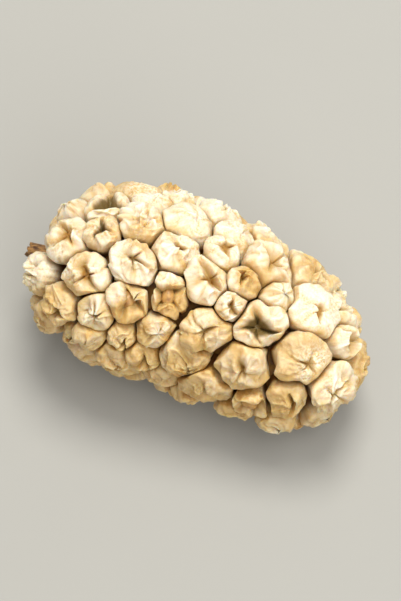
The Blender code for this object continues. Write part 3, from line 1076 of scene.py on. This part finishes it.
def read_masks(tree, name):
    """The four masks that an attribute of the skin holds."""
    node = add_node(tree, "ShaderNodeAttribute", attribute_name=name)
    parts = add_node(tree, "ShaderNodeSeparateColor", {"Color": node.outputs["Color"]}).outputs
    return (*parts, node.outputs["Alpha"])


def flesh_material():
    """Cream crowns and patches of pale bloom, with painted shade: gold sides and brown creases where
    drupelets press close, amber folds, deep brown low between drupelets, mouths and pits partly darkened
    with painted shade, and more gold on the low front side.
    """
    material, tree, shader, place = new_surface("dried_flesh_skin")
    outward, nearness, valley_shade, mouth = read_masks(tree, "form")
    tone, golden, bloom, pit_shade = read_masks(tree, "hue")
    grain = add_node(tree, "ShaderNodeAttribute", attribute_name="grain").outputs["Vector"]

    mottle = noise(tree, place, 1500.0, 5.0, 0.6)
    stains = noise(tree, place, 1100.0, 6.0, 0.62, 0.8)
    speckle = noise(tree, place, 6500.0, 3.0, 0.6)
    fibres = noise(tree, grain, 4.2, 5.0, 0.62, 0.4)
    crackle = noise(tree, place, 3600.0, 6.0, 0.65, 0.6)

    uneven = map_range(tree, mottle, 0.25, 0.75, -1.0, 1.0)
    crest = compute(tree, "ADD", outward, compute(tree, "MULTIPLY", uneven, 0.08))
    touch = compute(tree, "ADD", nearness, compute(tree, "MULTIPLY", uneven, 0.10))
    crease = compute(tree, "SUBTRACT", touch, compute(tree, "MULTIPLY", bloom, 0.14))
    stain = compute(tree, "MULTIPLY", golden, map_range(tree, stains, 0.44, 0.58, 0.0, 0.7))
    whitish = compute(tree, "MULTIPLY", bloom, map_range(tree, speckle, 0.34, 0.62))
    whitish = compute(tree, "MULTIPLY", whitish, map_range(tree, touch, 0.90, 0.62, 0.0, 0.9))

    base = tint(tree, BEIGE, crest, 0.62, 1.02, 0.85, CREAM)
    base = tint(tree, base, tone, 0.30, 0.8, 0.7, BEIGE)
    # More gold and amber, and brown stains: the fruit's own colour, with painted shade from some patches and
    # the low front side.
    base = tint(tree, base, golden, 0.0, 0.75, 0.9, GOLD)
    base = tint(tree, base, golden, 0.50, 1.0, 0.75, AMBER)
    base = blend_colour(tree, stain, base, BROWN)
    # Painted shade where neighbours press close: gold, then amber and brown in the creases between
    # drupelets.
    base = tint(tree, base, touch, 0.62, 0.94, 0.8, GOLD)
    base = tint(tree, base, fibres, 0.50, 0.30, 0.45, AMBER)
    # Painted shade: amber down the lines between lobes, the folds, the pleats and the lows between ridges.
    base = blend_colour(tree, compute(tree, "MULTIPLY", valley_shade, 0.85, True), base, AMBER)
    base = blend_colour(tree, whitish, base, BLOOM)
    # Mouths: olive, then brown at the middle, partly their own colour and partly painted shade of the
    # hollow.
    base = tint(tree, base, mouth, 0.1, 0.9, 0.95, OLIVE)
    base = tint(tree, base, mouth, 0.75, 1.0, 0.9, BROWN)
    # Painted shade: dark olive deep in pits, hollows and dents.
    base = tint(tree, base, pit_shade, 0.2, 0.9, 0.9, DARK_OLIVE)
    # Painted shade: amber, then brown, deepest in the creases.
    base = tint(tree, base, crease, 0.72, 0.94, 0.7, AMBER)
    base = tint(tree, base, crease, 0.87, 1.00, 0.8, BROWN)
    # Painted shade: deep brown on the low parts of each drupelet, down between its neighbours.
    base = tint(tree, base, outward, 0.42, 0.10, 1.0, DEEP_BROWN)
    feed(tree, shader.inputs["Base Color"], base)

    dull = map_range(tree, whitish, 0.0, 0.8, 0.37, 0.72)
    dull = compute(tree, "ADD", dull, compute(tree, "MULTIPLY", uneven, 0.10))
    feed(tree, shader.inputs["Roughness"], dull)
    set_flesh_depth(shader, 0.62)
    normal = bump(tree, fibres, 0.00012, 0.6)
    normal = bump(tree, crackle, 0.00008, 0.6, normal)
    feed(tree, shader.inputs["Normal"], bump(tree, speckle, 0.00002, 0.4, normal))
    return material


def mottled_material(name, scale, first, second, roughness, relief):
    """Two colours in fine mottling, with roughness and relief from the same mottling."""
    material, tree, shader, place = new_surface(name)
    mottle = noise(tree, place, scale, 5.0, 0.6)
    feed(tree, shader.inputs["Base Color"], tint(tree, first, mottle, 0.3, 0.7, 1.0, second))
    feed(tree, shader.inputs["Roughness"], map_range(tree, mottle, 0.3, 0.7, *roughness))
    feed(tree, shader.inputs["Normal"], bump(tree, mottle, relief, 0.6))
    set_flesh_depth(shader, 0.15)
    return material


def stalk_material():
    """Dry straw-brown fibres, darker between them."""
    material, tree, shader, place = new_surface("dried_stalk_fibre")
    stretch = {"Vector": place, "Scale": (700.0, 5200.0, 5200.0)}
    along_fibres = add_node(tree, "ShaderNodeMapping", stretch).outputs[0]
    fibres = noise(tree, along_fibres, 1.0, 5.0, 0.6, 0.3)
    mottle = noise(tree, place, 2600.0, 4.0, 0.6)
    base = tint(tree, STALK_DARK, fibres, 0.35, 0.65, 1.0, STRAW)
    base = tint(tree, base, mottle, 0.55, 0.75, 0.7, STALK_DARK)
    feed(tree, shader.inputs["Base Color"], base)
    feed(tree, shader.inputs["Roughness"], map_range(tree, fibres, 0.3, 0.7, 0.62, 0.85))
    feed(tree, shader.inputs["Normal"], bump(tree, fibres, 0.0001, 0.7))
    return material


def floor_material():
    material, tree, shader, place = new_surface("floor_pale")
    mottle = noise(tree, place, 90.0, 4.0, 0.5)
    darker = tuple(0.97 * value for value in FLOOR_PALE[:3]) + (1.0,)
    feed(tree, shader.inputs["Base Color"], blend_colour(tree, mottle, darker, FLOOR_PALE))
    shader.inputs["Roughness"].default_value = 0.8
    return material


def look_in(thing, middle, azimuth, elevation, distance):
    """Put a light or a camera round the middle, facing it. Azimuth 0 is at -Y, and 90 at +X."""
    turn = math.radians(azimuth)
    lift = math.radians(elevation)
    level = math.cos(lift)
    back = Vector((math.sin(turn) * level, -math.cos(turn) * level, math.sin(lift)))
    thing.location = middle + back * distance
    thing.rotation_euler = (-back).to_track_quat("-Z", "Y").to_euler()


def add_floor(material):
    mesh = bpy.data.meshes.new("floor")
    corners = [(-1.0, -1.0, 0.0), (1.0, -1.0, 0.0), (1.0, 1.0, 0.0), (-1.0, 1.0, 0.0)]
    mesh.from_pydata([Vector(corner) * FLOOR_RADIUS for corner in corners], [], [(0, 1, 2, 3)])
    mesh.materials.append(material)
    add_object("floor", mesh)


def add_lights(middle):
    for name, (azimuth, elevation, distance, width, watts, colour) in SOFT_BOXES.items():
        data = bpy.data.lights.new(name, "AREA")
        data.shape = "DISK"
        data.size = width
        data.energy = watts
        data.color = colour
        look_in(add_object(name, data), middle, azimuth, elevation, distance)


def add_world():
    world = bpy.data.worlds.new("pale_room")
    world.use_nodes = True
    background = world.node_tree.nodes["Background"]
    background.inputs["Color"].default_value = ROOM_PALE
    background.inputs["Strength"].default_value = ROOM_LIGHT
    bpy.context.scene.world = world


def add_camera(middle):
    data = bpy.data.cameras.new("camera")
    data.lens = LENS
    data.clip_start = 0.001
    data.clip_end = 10.0
    camera = add_object("camera", data)
    look_in(camera, middle, VIEW_AZIMUTH, VIEW_ELEVATION, CAMERA_DISTANCE)
    bpy.context.scene.camera = camera


def main():
    shift = frame_shift()
    matrices = drupelet_matrices(shift)
    look = Looks(matrices)
    make_drupelets(matrices, look, shift, flesh_material())
    shell = mottled_material("nutlet_shell", 2400.0, NUTLET_GOLD, NUTLET_BROWN, (0.30, 0.45), 0.00004)
    make_nutlets(matrices, look, shell)
    # The core's dark browns are partly painted shade at the bottom of the creases.
    flesh = mottled_material("core_flesh_and_crease_shade", 1800.0, DEEP_BROWN, BROWN, (0.45, 0.7), 0.0001)
    make_core(shift, flesh)
    make_stalk(shift, stalk_material())
    middle = (CAD_BOX[0] + CAD_BOX[1]) / 2
    add_floor(floor_material())
    add_lights(middle)
    add_world()
    add_camera(middle)
    bpy.context.scene.view_settings.view_transform = "Standard"


main()
